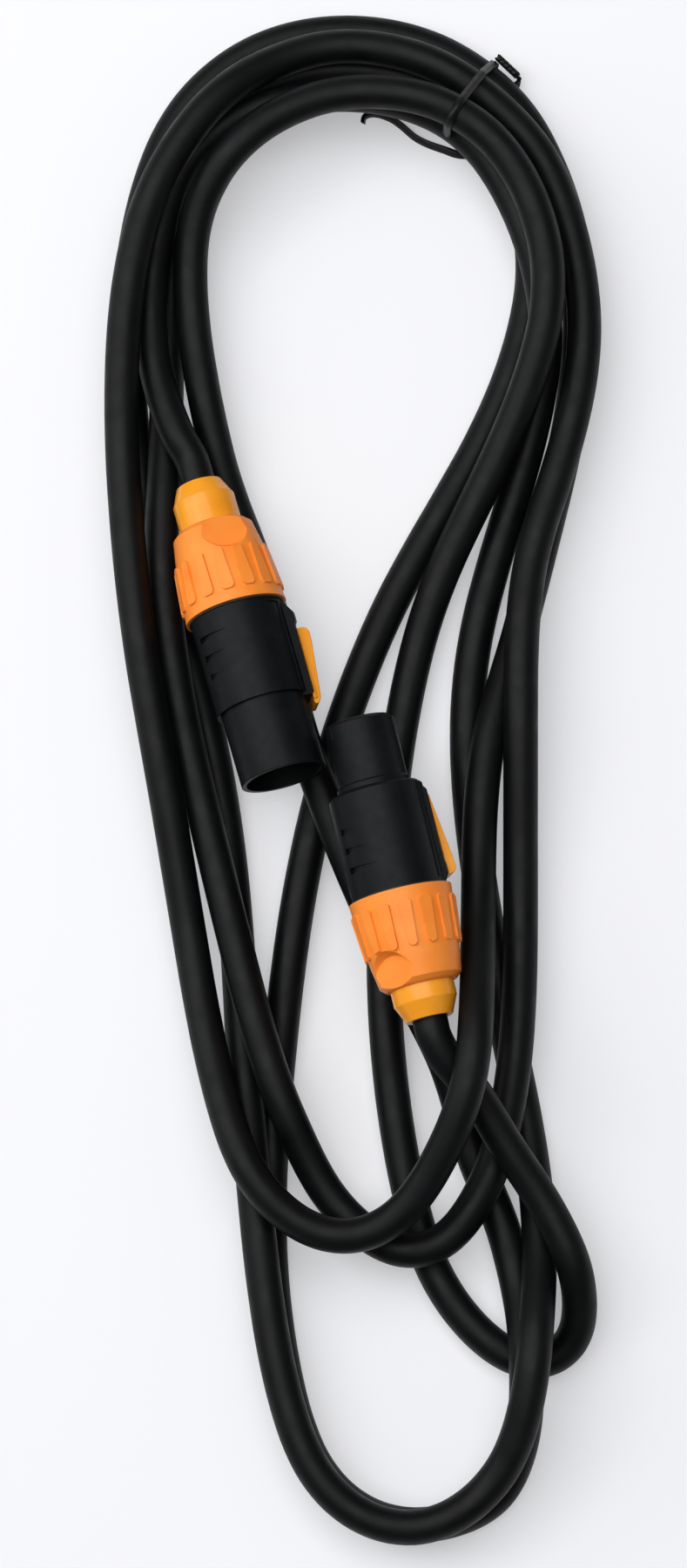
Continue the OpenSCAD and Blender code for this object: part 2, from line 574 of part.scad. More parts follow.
// Compression spring between its stop and the front of the slider's pocket.
module latch_spring(z_latch, sole) {
  n = spring_turns * spring_steps;
  z0 = z_latch + post_at + post_t + 0.05;
  lift = sole + (pocket_h - slide_gap) / 2;
  run = spring_len - 0.1 - spring_wire;
  path = [for (i = [0:n])
    [lift + spring_r * cos(i * 360 / spring_steps), spring_r * sin(i * 360 / spring_steps),
     z0 + spring_wire / 2 + run * i / n]];
  tube(path, spring_wire / 2, 5);
}

// Three finger grooves on one side of a housing, longest next to the nut.
// Each is a wedge: wide and deep at its end away from the latch, running out
// to a point, because its floor is a cylinder set a little off the axis.
groove_far = 164;                               // wide ends, from the latch
groove_lean = 1.2;                              // how far the floor is off the axis
module finger_grooves(z_first, side) {
  for (i = [0:2])
    let (reach = groove_turn * (1 - 0.22 * i), half = body_d / 2 * sin(reach / 2))
      translate([0, 0, z_first + i * groove_step])
        difference() {
          rotate([0, 0, side * (groove_far - reach / 2)])
            translate([body_d / 2 - 2, 0, 0])
              rotate([0, 90, 0])
                linear_extrude(4)
                  polygon([[-groove_w / 2, side * half], [groove_w / 2, side * half],
                    [0.1, -side * half], [-0.1, -side * half]]);
          rotate([0, 0, side * (groove_far - reach - 60)])
            translate([groove_lean, 0, -groove_w])
              cylinder(h = 2 * groove_w, r = body_d / 2 - groove_lean / 2);
        }
}

// Sunk panel beside the rails, where a rating would be marked, from one
// angle round the housing to another on both sides of the latch.
panel_depth = 0.35;
module side_panels(z0, z1, from, to) {
  for (start = [from, -to])
    rotate([0, 0, start])
      rotate_extrude(angle = to - from)
        translate([body_d / 2 - panel_depth, z0])
          square([panel_depth + 1, z1 - z0]);
}

// A contact with its terminal block behind it.
module terminal(z0, turn) {
  rotate([0, 0, turn])
    difference() {
      translate([contact_r - terminal_side / 2 + 0.3, -terminal_side / 2, z0])
        cube([terminal_side, terminal_side, terminal_len]);
      translate([contact_r, 0, z0 - eps])
        cylinder(h = terminal_len - 2, d = core_d + 0.2);
      translate([contact_r, 0, z0 + terminal_len / 2])
        rotate([0, 90, 0])
          cylinder(h = terminal_side, d = screw_d);
    }
}

screw_d = 2.6;
screw_clear = 0.02;

// The three terminal screws, each in its block, with a slotted head end.
module terminal_screws(z0) {
  for (turn = [earth_turn, line_turn, neutral_turn])
    rotate([0, 0, turn])
      translate([contact_r + core_d / 2 + 0.12, 0, z0 + terminal_len / 2])
        rotate([0, 90, 0])
          difference() {
            cylinder(h = 1.35, d = screw_d - 2 * screw_clear);
            translate([-screw_d, -0.25, 0.9])
              cube([2 * screw_d, 0.5, 1]);
          }
}

// ---- the pin connector ---------------------------------------------------
inlet_terminal_z = inlet_body_z + 2.5;
inlet_block_z = inlet_terminal_z + terminal_len + 0.2;
inlet_floor_z = inlet_end_z - spigot_len - 0.5; // floor of the socket
sleeve_root_z = inlet_seam_z - sleeve_in;       // rear end of the sleeve's seat
barrel_bore = mate_bore - 1.6;                  // seat of the contact block
earth_lead = 2;                                 // the earth pin meets first
inlet_ramp = 4.4;                               // ramp up to the rails
inlet_latch_z = inlet_body_z + inlet_ramp + 4.2;
inlet_sole = body_d / 2 + 0.3;                  // underside of the latch
inlet_low = body_d / 2 + 2.5;                   // latch's top at its low end
inlet_rail = body_d / 2 + 1.9;                  // top of the rails
inlet_latch_high = body_d / 2 + inlet_latch_rise;
inlet_groove_z = inlet_body_z + 6.4;            // first finger groove

module inlet_clamp_collar() {
  color(amber) inlet_place() clamp_collar(inlet_nut_z);
}

module inlet_cap_nut() {
  color(orange) inlet_place() cap_nut(inlet_nut_z, 264);
}

module inlet_seal() {
  color("dimgray") inlet_place() seal_ring(inlet_nut_z);
}

module inlet_face_ring() {
  color("black") inlet_place() face_ring(inlet_nut_z);
}

module inlet_housing() {
  rail_end = inlet_latch_z + inlet_latch_len - 2.5;
  color(black)
    inlet_place() {
      difference() {
        union() {
          tail(inlet_nut_z, inlet_body_z);
          pipe(inlet_body_z, inlet_seam_z, body_d / 2, tail_bore / 2);
          latch_bed(inlet_body_z, rail_end, inlet_ramp, inlet_rail, 0.5);
        }
        translate([0, 0, sleeve_root_z])
          cylinder(h = inlet_end_z, r = sleeve_d / 2 + seat_gap);
        latch_channel(inlet_latch_z, inlet_travel, inlet_end_z, inlet_sole);
        finger_grooves(inlet_groove_z, 1);
        finger_grooves(inlet_groove_z, -1);
        side_panels(inlet_body_z + 1, inlet_seam_z - 1.5, 36, 58);
      }
      spring_post(inlet_latch_z, inlet_sole);
    }
}

module inlet_sleeve() {
  color(black)
    inlet_place()
      difference() {
        translate([0, 0, sleeve_root_z + 0.05])
          cylinder(h = inlet_end_z - sleeve_root_z - 0.05, r = sleeve_d / 2);
        translate([0, 0, sleeve_root_z])
          cylinder(h = inlet_end_z - sleeve_root_z, r = barrel_bore / 2);
        translate([0, 0, inlet_floor_z])
          cylinder(h = inlet_end_z - inlet_floor_z + 1, r = mate_bore / 2);
        translate([0, 0, inlet_end_z - mouth_len])
          cylinder(h = mouth_len + 1, r = mouth_d / 2);
      }
}

module inlet_contact_block() {
  color("dimgray")
    inlet_place()
      difference() {
        translate([0, 0, inlet_block_z])
          cylinder(h = inlet_floor_z - inlet_block_z, r = barrel_bore / 2 - seat_gap);
        for (turn = [earth_turn, line_turn, neutral_turn])
          rotate([0, 0, turn])
            translate([contact_r, 0, inlet_block_z - 1])
              cylinder(h = inlet_end_z - inlet_block_z, r = pin_d / 2 + screw_clear);
      }
}

module inlet_pin(turn, extra) {
  tip_z = inlet_floor_z + pin_reach + extra;
  terminal(inlet_terminal_z, turn);
  rotate([0, 0, turn])
    translate([contact_r, 0, 0])
      rotate_extrude()
        polygon([[0, inlet_terminal_z + terminal_len - 1], [pin_d / 2, inlet_terminal_z + terminal_len - 1],
          [pin_d / 2, tip_z - 1.2], [pin_d / 2 - 0.8, tip_z], [0, tip_z]]);
}

module inlet_line_pin() {
  color("silver") inlet_place() inlet_pin(line_turn, 0);
}

module inlet_neutral_pin() {
  color("silver") inlet_place() inlet_pin(neutral_turn, 0);
}

module inlet_earth_pin() {
  color("silver") inlet_place() inlet_pin(earth_turn, earth_lead);
}

module inlet_terminal_screws() {
  color("gray") inlet_place() terminal_screws(inlet_terminal_z);
}

module inlet_line_core() {
  color("saddlebrown") inlet_place() core(inlet_jacket, inlet_terminal_z, line_turn);
}

module inlet_neutral_core() {
  color("royalblue") inlet_place() core(inlet_jacket, inlet_terminal_z, neutral_turn);
}

module inlet_earth_core() {
  color("yellowgreen") inlet_place() core(inlet_jacket, inlet_terminal_z, earth_turn);
}

module inlet_latch() {
  color(amber)
    inlet_place()
      latch_slider(inlet_latch_z, inlet_latch_len, inlet_sole, inlet_low, inlet_latch_high);
}

module inlet_latch_spring() {
  color("silver") inlet_place() latch_spring(inlet_latch_z, inlet_sole);
}

// ---- the socket connector ------------------------------------------------
outlet_terminal_z = outlet_body_z + 2.5;
outlet_block_z = outlet_terminal_z + terminal_len + 0.2;
outlet_latch_z = outlet_body_z + 1.9;
outlet_sole = body_d / 2 - 1.5;                 // underside of the latch
outlet_low = body_d / 2 + 0.6;                  // latch's top at its low end
outlet_rail = body_d / 2 + 1.1;                 // top of the rails
outlet_latch_high = body_d / 2 + outlet_latch_rise;
outlet_groove_z = outlet_body_z + 8;            // first finger groove
spigot_in = 10;                                 // spigot inside the housing
spigot_root_z = outlet_seam_z - spigot_in;
nose_floor = 1.2;                               // front wall of the spigot
nose_edge = 1;                                  // its chamfer
lug_len = 3.6;
lug_w = 2.2;
pin_deep = 18;                                  // depth of a contact tube's bore

module outlet_clamp_collar() {
  color(amber) outlet_place() clamp_collar(outlet_nut_z);
}

module outlet_cap_nut() {
  color(orange) outlet_place() cap_nut(outlet_nut_z, 38);
}

module outlet_seal() {
  color("dimgray") outlet_place() seal_ring(outlet_nut_z);
}

module outlet_face_ring() {
  color("black") outlet_place() face_ring(outlet_nut_z);
}

module outlet_housing() {
  latch_end = outlet_latch_z + outlet_latch_len;
  color(black)
    outlet_place() {
      difference() {
        union() {
          tail(outlet_nut_z, outlet_body_z);
          rotate_extrude()
            polygon([[tail_bore / 2, outlet_body_z], [body_d / 2, outlet_body_z],
              [body_d / 2, outlet_seam_z - 1], [body_d / 2 - 1, outlet_seam_z],
              [tail_bore / 2, outlet_seam_z]]);
          latch_bed(outlet_body_z, latch_end + 1.2, 2.4, outlet_rail, 0.2);
        }
        translate([0, 0, spigot_root_z])
          cylinder(h = outlet_end_z, r = root_d / 2 + seat_gap);
        latch_channel(outlet_latch_z, outlet_travel, latch_end + slide_gap, outlet_sole);
        finger_grooves(outlet_groove_z, 1);
        finger_grooves(outlet_groove_z, -1);
        side_panels(outlet_body_z + 1, outlet_seam_z + 1, 38, 72);
      }
      spring_post(outlet_latch_z, outlet_sole);
    }
}

// The nose that enters the other connector, with four locking lugs.
module outlet_spigot() {
  color(black)
    outlet_place()
      difference() {
        union() {
          rotate_extrude()
            polygon([[0, spigot_root_z + 0.05], [root_d / 2, spigot_root_z + 0.05],
              [root_d / 2, outlet_seam_z + root_ring - root_step],
              [spigot_d / 2, outlet_seam_z + root_ring],
              [spigot_d / 2, outlet_end_z - nose_edge],
              [spigot_d / 2 - nose_edge, outlet_end_z], [0, outlet_end_z]]);
          for (turn = [18, 108, 198, 288])
            rotate([0, 0, turn])
              translate([spigot_d / 2 - 1, -lug_w / 2, outlet_end_z - nose_edge - lug_len])
                cube([1 + lug_rise, lug_w, lug_len]);
        }
        translate([0, 0, spigot_root_z - 1])
          cylinder(h = outlet_end_z - nose_floor - spigot_root_z + 1,
            r = spigot_d / 2 - spigot_wall);
        for (turn = [earth_turn, line_turn, neutral_turn])
          rotate([0, 0, turn])
            translate([contact_r, 0, outlet_end_z - nose_floor - 1])
              cylinder(h = nose_floor + 2, r = pin_d / 2 + contact_rim);
      }
}

module outlet_contact_block() {
  front = outlet_end_z - nose_floor - 0.05;
  color("dimgray")
    outlet_place()
      difference() {
        translate([0, 0, outlet_block_z])
          cylinder(h = front - outlet_block_z, r = spigot_d / 2 - spigot_wall - seat_gap);
        for (turn = [earth_turn, line_turn, neutral_turn])
          rotate([0, 0, turn])
            translate([contact_r, 0, outlet_block_z - 1])
              cylinder(h = outlet_end_z, r = pin_d / 2 + socket_wall + 2 * screw_clear);
      }
}

// A contact tube with a blind bore that takes the other connector's pin.
module outlet_socket(turn) {
  z0 = outlet_terminal_z + terminal_len - 1;
  z1 = outlet_end_z - nose_floor - 0.2;
  terminal(outlet_terminal_z, turn);
  rotate([0, 0, turn])
    translate([contact_r, 0, 0])
      difference() {
        translate([0, 0, z0])
          cylinder(h = z1 - z0, r = pin_d / 2 + socket_wall);
        translate([0, 0, z1 - pin_deep])
          cylinder(h = pin_deep + 1, r = pin_d / 2 + screw_clear);
      }
}

module outlet_line_socket() {
  color("silver") outlet_place() outlet_socket(line_turn);
}

module outlet_neutral_socket() {
  color("silver") outlet_place() outlet_socket(neutral_turn);
}

module outlet_earth_socket() {
  color("silver") outlet_place() outlet_socket(earth_turn);
}

module outlet_terminal_screws() {
  color("gray") outlet_place() terminal_screws(outlet_terminal_z);
}

module outlet_line_core() {
  color("saddlebrown") outlet_place() core(outlet_jacket, outlet_terminal_z, line_turn);
}

module outlet_neutral_core() {
  color("royalblue") outlet_place() core(outlet_jacket, outlet_terminal_z, neutral_turn);
}

module outlet_earth_core() {
  color("yellowgreen") outlet_place() core(outlet_jacket, outlet_terminal_z, earth_turn);
}

module outlet_latch() {
  color(amber)
    outlet_place()
      latch_slider(outlet_latch_z, outlet_latch_len, outlet_sole, outlet_low,
        outlet_latch_high);
}

module outlet_latch_spring() {
  color("silver") outlet_place() latch_spring(outlet_latch_z, outlet_sole);
}

// ---- the twist tie -------------------------------------------------------
// One flat tie round the strands at the top right: a band round the bundle,
// its two ends twisted together outside it, and the long end, which passes
// back below the strands and lies inside the loops.
tie_at = [32.5, 189.5];                        // middle of the band
tie_turn = -120;                                // heading across the bundle
tie_slack = 0.2;                                // between the band and the jackets
// Strands inside the band: distance across the bundle and height.
tie_strands = [[-12, T], [-0.5, T], [6, 14.6], [6, 25.4], [-5.5, 16]];

module tie_outline(r) {
  hull()
    for (p = tie_strands)
      translate(p)
        circle(r = r, $fn = 24);
}

// A flat ribbon; each station is [x, y, z, roll], roll 0 lying flat.
function ribbon_ring(s, i, w, t) =
  let (path = [for (q = s) [q[0], q[1], q[2]]],
       ahead = heading_at(path, i),
       level = unit(cross(ahead, [0, 0, 1])),
       over = cross(level, ahead),
       a = s[i][3],
       wide = w / 2 * (cos(a) * level + sin(a) * over),
       thick = t / 2 * (cos(a) * over - sin(a) * level))
  [for (k = [[1, 1], [-1, 1], [-1, -1], [1, -1]]) path[i] + k[0] * wide + k[1] * thick];

module ribbon(s, w, t) {
  n = len(s);
  points = [for (i = [0:n - 1]) each ribbon_ring(s, i, w, t)];
  walls = [for (i = [0:n - 2], k = [0:3])
    let (a = i * 4 + k, b = i * 4 + (k + 1) % 4)
    each [[a, b, b + 4], [a, b + 4, a + 4]]];
  start = [[0, 2, 1], [0, 3, 2]];
  end = [for (f = [[0, 1, 2], [0, 2, 3]]) f + (n - 1) * 4 * [1, 1, 1]];
  polyhedron(points = points, faces = concat(walls, start, end));
}

tie_knot_at = [[42, 205.7, 7.5], [47.4, 200.9, 6]];
tie_knot_r = 0.9;
tie_tail = [
  [47.4, 200.9, 5, 80], [47.9, 200.6, 3.2, 60], [47.1, 199, 1.2, 20],
  [45.5, 196.4, 0.45, 0], [41.5, 190, 0.45, 0], [37.8, 184, 0.45, 0], [35.2, 180, 0.5, 0],
  [33, 178.7, 0.9, 45], [30, 178.8, 1.3, 75], [26.5, 180, 1.3, 80], [21.5, 182, 1.3, 80],
  [18, 184.2, 1.3, 80], [14, 187.7, 1.3, 80], [11, 189.8, 1.3, 80], [7, 191, 1.3, 80],
  [4.8, 190.8, 1.3, 80], [3.3, 189.9, 1.3, 80], [3, 188.2, 1.3, 80]];

// The twisted part of the two ends, as one coil that touches the band.
module tie_knot() {
  axis = tie_knot_at[1] - tie_knot_at[0];
  along = unit(axis);
  side = unit(cross(along, [0, 0, 1]));
  over = cross(side, along);
  path = [for (i = [0:18])
    tie_knot_at[0] + axis * i / 18 + tie_knot_r * (cos(i * 60) * side + sin(i * 60) * over)];
  tube(path, 0.75, 6);
}

module twist_tie() {
  color(rubber) {
    translate([tie_at[0], tie_at[1], 0])
      rotate([90, 0, tie_turn])
        translate([0, 0, -tie_w / 2])
          linear_extrude(tie_w)
            difference() {
              tie_outline(cord_d / 2 + tie_slack + tie_t);
              tie_outline(cord_d / 2 + tie_slack);
            }
    tie_knot();
    ribbon(tie_tail, tie_w, tie_t);
  }
}

cord();
twist_tie();
inlet_clamp_collar();
inlet_cap_nut();
inlet_seal();
inlet_face_ring();
inlet_housing();
inlet_sleeve();
inlet_contact_block();
inlet_line_pin();
inlet_neutral_pin();
inlet_earth_pin();
inlet_terminal_screws();
inlet_line_core();
inlet_neutral_core();
inlet_earth_core();
inlet_latch();
inlet_latch_spring();
outlet_clamp_collar();
outlet_cap_nut();
outlet_seal();
outlet_face_ring();
outlet_housing();
outlet_spigot();
outlet_contact_block();
outlet_line_socket();
outlet_neutral_socket();
outlet_earth_socket();
outlet_terminal_screws();
outlet_line_core();
outlet_neutral_core();
outlet_earth_core();
outlet_latch();
outlet_latch_spring();
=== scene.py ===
"""Power extension cord in a tied hank, dressed for the render.

Everything is in metres in the CAD frame: +Z is up, z = 0 is the surface the
hank lies on, and +Y runs along the hank towards its tied end.
"""
import math

import bmesh
import bpy
from mathutils import Matrix, Vector


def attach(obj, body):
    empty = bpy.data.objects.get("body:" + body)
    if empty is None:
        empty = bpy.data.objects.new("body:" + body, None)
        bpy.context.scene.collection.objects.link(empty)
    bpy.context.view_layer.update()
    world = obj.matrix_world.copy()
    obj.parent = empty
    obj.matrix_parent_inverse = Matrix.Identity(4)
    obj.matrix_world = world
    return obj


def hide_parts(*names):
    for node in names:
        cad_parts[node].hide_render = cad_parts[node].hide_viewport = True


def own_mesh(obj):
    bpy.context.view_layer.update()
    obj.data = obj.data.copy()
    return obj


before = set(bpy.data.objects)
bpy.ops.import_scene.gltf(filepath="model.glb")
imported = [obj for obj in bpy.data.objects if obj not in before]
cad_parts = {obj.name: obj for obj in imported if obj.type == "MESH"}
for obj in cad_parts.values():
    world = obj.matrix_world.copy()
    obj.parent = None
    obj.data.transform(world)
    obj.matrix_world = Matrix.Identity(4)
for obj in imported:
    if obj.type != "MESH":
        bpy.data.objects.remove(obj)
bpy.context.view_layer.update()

MM = 0.001
BODY = "hank"

# ---------------------------------------------------------------- camera
TARGET = Vector((-2.7, -7.0, 12.0)) * MM
TILT = math.radians(8.5)            # how far the view leans back from straight down
DISTANCE = 1350 * MM
LENS_MM = 110.2                     # on the sensor's long side, 36 mm

camera_data = bpy.data.cameras.new("camera")
camera_data.lens = LENS_MM
camera_data.sensor_width = 36.0
camera_data.sensor_fit = "AUTO"
camera_data.clip_start = 0.05
camera_data.clip_end = 20.0
camera = bpy.data.objects.new("camera", camera_data)
look = Vector((0.0, math.sin(TILT), -math.cos(TILT)))
camera.location = TARGET - look * DISTANCE
camera.rotation_euler = look.to_track_quat("-Z", "Y").to_euler()
bpy.context.scene.collection.objects.link(camera)
bpy.context.scene.camera = camera

# ---------------------------------------------------------------- the cord's route
CORD_D = 9.8
F = 3.9                             # centre height of a pass cut flat on the surface
T = 5.9                             # and of a pass that rests on the tie
INLET_AT, INLET_AIM = Vector((-43.5, 77, 19.6)), (-74, 6.2, 80)
OUTLET_AT, OUTLET_AIM = Vector((21, -75.5, 34.6)), (103.3, -2.1, 280)


def forward(aim):
    heading, pitch = math.radians(aim[0]), math.radians(aim[1])
    return Vector((math.cos(pitch) * math.cos(heading),
                   math.cos(pitch) * math.sin(heading), math.sin(pitch)))


def inlet_point(z):
    return tuple(INLET_AT + z * forward(INLET_AIM))


def outlet_point(z):
    return tuple(OUTLET_AT + z * forward(OUTLET_AIM))


# Out of the pin connector, up its side of the hank and over the top.
lead_out = [
  [-49.5, 91.5, 19.2], [-54, 102, 17.8], [-57.5, 113, 14.5], [-59, 131, 13.5],
  [-56.5, 154, 14], [-53, 164, 14.5], [-47.5, 174, 14.5], [-40, 182, 14.5],
  [-33.5, 186, 14.5], [-26.5, 189, 14], [-14, 192.5, 13.5], [-1.5, 194, 12.5]]
# Down the right side, under the other strands.
right_low = [
  [13.5, 192.5, 13.5], [28.5, 185.5, 14.6], [36, 178.5, 14.5], [44.5, 167, 14.5],
  [52.5, 147.5, 14.5], [55.5, 132, 14.5], [55.5, 118.5, 13], [53.5, 105, 9.5],
  [50.5, 91.5, 5], [46, 77, F], [39, 54, F], [35, 40.5, F], [32.5, 24, F],
  [31.5, 8, F], [32.5, -11, F], [35, -30.5, F], [38.5, -54, F], [44.5, -82.5, F],
  [47.5, -96, F], [50, -111, F]]
# The lower loop that reaches the foot of the hank, above its twin.
foot_upper = [
  [51.5, -124, 6.5], [52, -135, 9.8], [51.5, -143, 13.8], [51, -152, 19],
  [50, -161, 24.5],
  [49.5, -168.5, 25.6], [48, -179, 23.9], [45.5, -189, 20.2], [42.5, -196.5, 17],
  [38, -202.5, 15], [32, -208.5, 14.5], [25, -212.5, 14.5], [16.5, -215, 14.5],
  [8, -213.5, 14.5],
  [1, -210.5, 14.5], [-5, -206, 14.5], [-11, -199.5, 14.5], [-15, -191, 14.5],
  [-18, -182, 14.5],
  [-22, -167.5, 14.5], [-25.5, -145.5, 14.5], [-27.5, -119.5, 14], [-29, -105, 13],
  [-30, -93, 11.5], [-31, -81, 8], [-31.5, -67.5, F]]
# Up the left side on the surface and round the outside of the top.
outer_top = [
  [-32.5, -50, F], [-34.5, -25.5, F], [-37.5, -7, F], [-42.5, 19, F], [-49, 39.5, F],
  [-56, 55.5, F], [-61, 79, F], [-64, 100, F], [-65.5, 120.5, F], [-64.5, 141, F],
  [-62, 157, F], [-58.5, 170.5, F], [-54.5, 182.5, F], [-48, 193.5, F],
  [-38.5, 202.5, F],
  [-29.5, 208.5, F], [-20, 212, F], [-11, 214, F], [-1.5, 214.5, F], [8, 214, F],
  [17.5, 211.5, 4.4], [26.5, 208, T], [36, 202, T], [45.5, 193.5, T], [50.5, 187, 5],
  [54.5, 179.5, F],
  [59.5, 168, F], [63, 156.5, F], [65.5, 141, F], [66, 123, F], [63.5, 102.5, F],
  [59, 83, F], [54.5, 66, F], [50, 48, F], [47, 36, 5], [43.5, 24.5, 7.5],
  [40.5, 15.5, 10.5], [38, 6.5, 13], [36.5, -4, 14.5], [35.5, -15, 15]]
# The highest loop: over the socket connector's cord, round, and up the left.
high_loop = [
  [35, -27, 15.5], [35, -42.5, 19.5], [34.5, -58, 27], [34, -70.5, 35],
  [33.5, -77.5, 38.5], [33, -85, 40.5], [32, -93, 40.5], [29.5, -101, 38.5],
  [26, -110, 35], [20, -120.5, 30], [16, -126, 27.5], [10.5, -131, 25.5],
  [4.5, -134, 24.5],
  [-1.5, -135, 23.5], [-7.5, -134.5, 23], [-14, -132, 23], [-19.5, -128, 23.5],
  [-25, -122.5, 24.5],
  [-28.5, -117.5, 24.5], [-32, -110.5, 23.5], [-34.5, -103.5, 22.5], [-39.5, -86, 16.5],
  [-43, -67.5, 11], [-46, -48.5, 9.5], [-49, -31.5, 14.5], [-52, -12.5, 18.5],
  [-55.5, 6.5, 19.6], [-59.5, 26.5, 20.5], [-62, 46, 21.5], [-64, 67, 21.5],
  [-65.5, 86, 21.5], [-66, 107.5, 21.5], [-65, 129, 22.5], [-62.5, 143, 24]]
# Over the top in the middle of the bundle and down the right outside.
outer_right = [
  [-59.5, 155, 24.5], [-56, 164, 25], [-51.5, 172, 25], [-47, 179, 24.5],
  [-42.5, 185.5, 24.5], [-36, 192, 23], [-30.5, 196.5, 20.5], [-24.5, 200.5, 18],
  [-15, 205, 15.5], [-8, 206.5, 14.5], [-1.5, 207.5, 14.5], [8, 206.5, 14.5],
  [17.5, 204, 15.5], [26.5, 200.5, 16], [36, 194, 15.8], [45, 185.5, 14.5],
  [49.5, 180.5, 14.5], [53.5, 175, 14.5], [57, 169, 14.5], [61.5, 156.5, 14.5],
  [65, 142.5, 14.5], [66.5, 128, 14.5], [66, 117, 14.5], [64.5, 105.5, 14.5],
  [61.5, 92.5, 14.5], [56, 75, 14.5], [52.5, 66, 15], [50, 57.5, 15.5],
  [47.5, 42, 16.5],
  [47, 27, 18.5], [47, 12, 19], [47, -2.5, 17], [47, -19, 11.5], [47, -36.5, 10],
  [47, -52, 11], [46.5, -68, 14], [45.5, -81, 14.5], [44.5, -90.5, 14.5],
  [42.5, -101, 13.5]]
# The second loop at the middle, under the highest one, and up the left.
second_loop = [
  [40.5, -110, 13.5], [38.5, -116, 14.5], [35.5, -122, 15], [32.5, -127.5, 15],
  [29, -132, 14.5], [25, -136, 14.5], [19.5, -138.5, 14.5], [13.5, -138.5, 14.5],
  [8, -136.5, 13], [2.5, -132.5, 11.5], [-3, -127.5, 10], [-7.5, -122, 10],
  [-11, -116, 11.5],
  [-14.5, -109, 13.5], [-17, -103, 16], [-19.5, -98, 17.5], [-22, -91.5, 18],
  [-24.5, -83.5, 17.5], [-28, -72, 16], [-31, -60, 15], [-35, -44.5, 15],
  [-39.5, -25.5, 14], [-44, -7, 13], [-47, 5, 12.5], [-49.5, 18, 13],
  [-52.5, 35, 14], [-54.5, 51, 14.5], [-54.5, 65, 14], [-53.5, 80.5, 12],
  [-53, 98, 7], [-53.5, 115.5, F], [-53, 134, F]]
# Inside the top on the surface, down to the left and round the foot.
inner_low = [
  [-51.5, 149, F], [-49.5, 163.5, F], [-46, 175.5, F], [-40, 186.5, F], [-32.5, 194, F],
  [-24.5, 199, F], [-17, 201.5, F], [-9.5, 203, F], [-1.5, 203.5, F], [6.5, 202.5, F],
  [14.5, 201, 4.4], [22, 198, T], [30.5, 192.5, T], [38, 185.5, T], [44.5, 175.5, 4.8],
  [49.5, 164, F], [52, 152, F], [52.5, 141, F], [50.5, 128, F], [45, 109, F],
  [37, 92, F],
  [27.5, 76.5, F], [18.5, 60.5, F], [10.5, 47, F], [3.5, 30, F], [-4.5, 9, F],
  [-10.5, -12, F], [-16, -38, F], [-18.5, -60, F], [-20.5, -77.5, F], [-22.5, -100, F],
  [-24, -121.5, F], [-23.5, -138, F], [-22.5, -153, F], [-20, -170, F],
  [-16, -186.5, F],
  [-12, -196.5, F], [-5, -205, F], [1.5, -209.5, F], [8.5, -212.5, F],
  [16.5, -214, F], [25, -213, F],
  [35, -209.5, F], [39.5, -206, 4.5]]
# Up from the foot, under the other loops, across below both connectors.
cross_up = [
  [43, -201, 5], [45.5, -195, 6.5], [47.5, -188, 9], [48, -179, 12.5],
  [48, -170.5, 14.5],
  [47.5, -164, 14.5], [47.5, -157.5, 11], [46.5, -150.5, 7], [44.5, -141, 4.2],
  [42, -130, F],
  [38.5, -122, F], [34, -114, F], [31, -103.5, F], [29, -92.5, 5], [26, -85, 8],
  [22, -77, 11],
  [17, -68.5, 14], [12, -59, 14.5], [7.5, -50, 14.5], [2.5, -39, 14.5],
  [-2.5, -27, 14.5],
  [-6.5, -16.5, 14.5], [-10, -6.5, 14.2], [-12.5, 0.5, 13.2], [-15, 8, 8.5],
  [-17, 16.5, 5], [-19, 25.5, F], [-21.5, 38, F], [-25.5, 52, F], [-30, 64, 4.5],
  [-34.5, 74, 6.5], [-38, 84, 9.5], [-40, 93.5, 11.5], [-43, 107, 12.5],
  [-46, 123.5, 13], [-47, 139, 13.5], [-46.5, 150.5, 15]]
# Round the inside of the top as the uppermost strand, then down the middle.
inner_high = [
  [-44.5, 158, 18], [-41, 165, 21], [-37, 171, 24], [-32, 176, 25], [-26, 181.5, 25],
  [-18.5, 185.5, 24.5], [-10, 189.5, 24], [-1.5, 191, 23.5], [7.5, 191, 24],
  [16, 190, 24.5],
  [25, 187.5, 25.4], [32, 183, 25.4], [38.5, 178.5, 25.2], [43.5, 172.5, 25],
  [47.5, 166, 25],
  [51, 159, 25], [54, 149.5, 25], [55.5, 141, 25], [55.5, 133, 25], [55, 123, 25],
  [52, 113.5, 23.5], [49, 104, 20], [45, 94.5, 17], [40.5, 85, 14.5], [36, 76, 13],
  [31, 66, 11.5], [27, 58, 10.5], [23.5, 49.5, 8], [19.5, 39, 5.5], [16.5, 26.5, F],
  [14, 14, F], [12, 1.5, F], [10, -12.5, F], [9, -33, F], [8.5, -47.5, F],
  [8.5, -62.5, F],
  [9, -77.5, F], [11, -98, F], [14, -115.5, F], [18, -133, F], [21.5, -142, F],
  [25.5, -149, F], [30, -155.5, F], [35.5, -161.5, F], [41.5, -166, F]]
# The small turn at the right and up over the others to the socket connector.
lead_in = [
  [47, -168.5, F], [52, -168.5, F], [57, -167, 4.5], [60.5, -163.5, 6],
  [62.5, -159.5, 8],
  [63, -154.5, 11], [62.5, -148.5, 15], [61.5, -144, 18], [60, -139, 20],
  [57, -133, 20],
  [53, -125, 20.5], [48.5, -118.5, 21.5], [45, -114, 23.4], [41, -107.5, 24],
  [37, -101, 25.5],
  [33.5, -94.5, 27.5], [29.5, -90.5, 30], [25.5, -86.3, 32.9]]

# A pass on the surface is round here and lies on it, so it is half a
# flattened foot higher than in the solid; passes above it rise less.
FOOT = 0.1 * CORD_D
LIFT_OVER = 22.0


